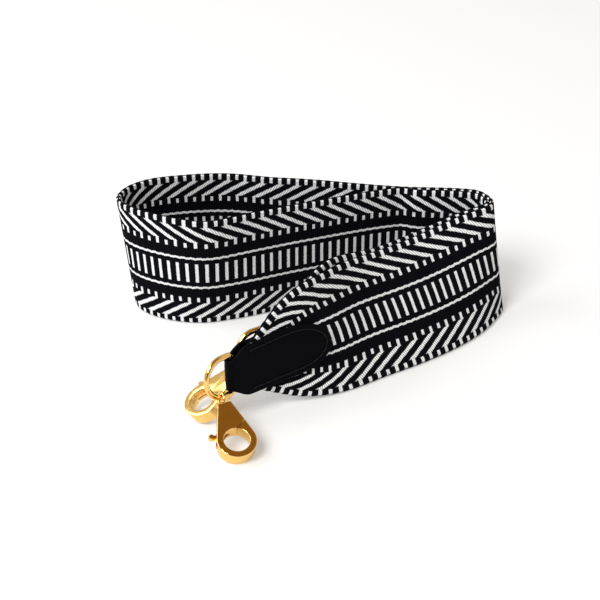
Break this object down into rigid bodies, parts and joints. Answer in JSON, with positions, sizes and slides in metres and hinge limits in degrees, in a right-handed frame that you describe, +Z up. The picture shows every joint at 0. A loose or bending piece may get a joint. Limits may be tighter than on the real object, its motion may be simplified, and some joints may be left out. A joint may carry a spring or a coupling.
{
  "type": "detachable bag strap",
  "caption": "Patterned webbing bag strap coiled on its edge, its gathered ends held in leather tabs with D-rings and swivelling teardrop trigger clasps.",
  "frame": {"origin": "middle of the whole part's bounding box, at its base", "axes": "+X to the right along the coil's length, +Y away from the viewer, +Z up along the webbing's width"},
  "size_m": [0.1656, 0.1434, 0.05],
  "materials": {
    "webbing": "black and white jacquard weave, matt",
    "front_leather": "smooth, semi-matt",
    "front_thread": "matt",
    "front_gold": "polished, pale gold",
    "front_steel": "satin",
    "rear_leather": "smooth, semi-matt",
    "rear_thread": "matt",
    "rear_gold": "polished, pale gold",
    "rear_steel": "satin"
  },
  "bodies": {
    "strap": {"strap_webbing": "webbing", "front_tab": "front_leather", "front_needle_stitches": "front_thread", "front_bobbin_stitches": "front_thread", "rear_tab": "rear_leather", "rear_needle_stitches": "rear_thread", "rear_bobbin_stitches": "rear_thread"},
    "front_ring": {"front_d_ring": "front_gold"},
    "front_eye": {"front_swivel_eye": "front_gold"},
    "front_clasp": {"front_clasp_body": "front_gold", "front_claw_pin": "front_steel", "front_claw_spring": "front_steel"},
    "front_claw": {"front_clasp_claw": "front_gold"},
    "rear_ring": {"rear_d_ring": "rear_gold"},
    "rear_eye": {"rear_swivel_eye": "rear_gold"},
    "rear_clasp": {"rear_clasp_body": "rear_gold", "rear_claw_pin": "rear_steel", "rear_claw_spring": "rear_steel"},
    "rear_claw": {"rear_clasp_claw": "rear_gold"}
  },
  "joints": [
    {"name": "front_ring_swing", "type": "hinge", "parent": "strap", "child": "front_ring", "pos_m": [-0.03112, -0.03949, 0.02063], "axis": [-0.0468, 0.1637, 0.9854], "range_deg": [-20, 55]},
    {"name": "front_eye_swing", "type": "hinge", "parent": "front_ring", "child": "front_eye", "pos_m": [-0.03546, -0.04514, 0.01332], "axis": [-0.7262, -0.6275, 0.2807], "range_deg": [-40, 60]},
    {"name": "front_clasp_swivel", "type": "hinge", "parent": "front_eye", "child": "front_clasp", "pos_m": [-0.03421, -0.04871, 0.01179], "axis": [-0.3065, 0.8752, 0.3742], "continuous": true},
    {"name": "front_claw_trigger", "type": "hinge", "parent": "front_clasp", "child": "front_claw", "pos_m": [-0.03472, -0.06027, 0.00746], "axis": [-0.1237, 0.3532, -0.9274], "range_deg": [0, 28], "stiffness_Nm_per_rad": 0.014, "springref_deg": -11.46},
    {"name": "rear_ring_swing", "type": "hinge", "parent": "strap", "child": "rear_ring", "pos_m": [-0.01755, -0.02269, 0.02215], "axis": [-0.1705, 0.1801, 0.9688], "range_deg": [-60, 0]},
    {"name": "rear_eye_swing", "type": "hinge", "parent": "rear_ring", "child": "rear_eye", "pos_m": [-0.02686, -0.0285, 0.01668], "axis": [-0.6644, -0.1118, 0.7389], "range_deg": [-90, 0]},
    {"name": "rear_clasp_swivel", "type": "hinge", "parent": "rear_eye", "child": "rear_clasp", "pos_m": [-0.0298, -0.03048, 0.01465], "axis": [0.7196, 0.4854, 0.4966], "range_deg": [-180, 115]},
    {"name": "rear_claw_trigger", "type": "hinge", "parent": "rear_clasp", "child": "rear_claw", "pos_m": [-0.04055, -0.03253, 0.0089], "axis": [0.4117, 0.2777, -0.868], "range_deg": [0, 28], "stiffness_Nm_per_rad": 0.014, "springref_deg": -11.46}
  ]
}
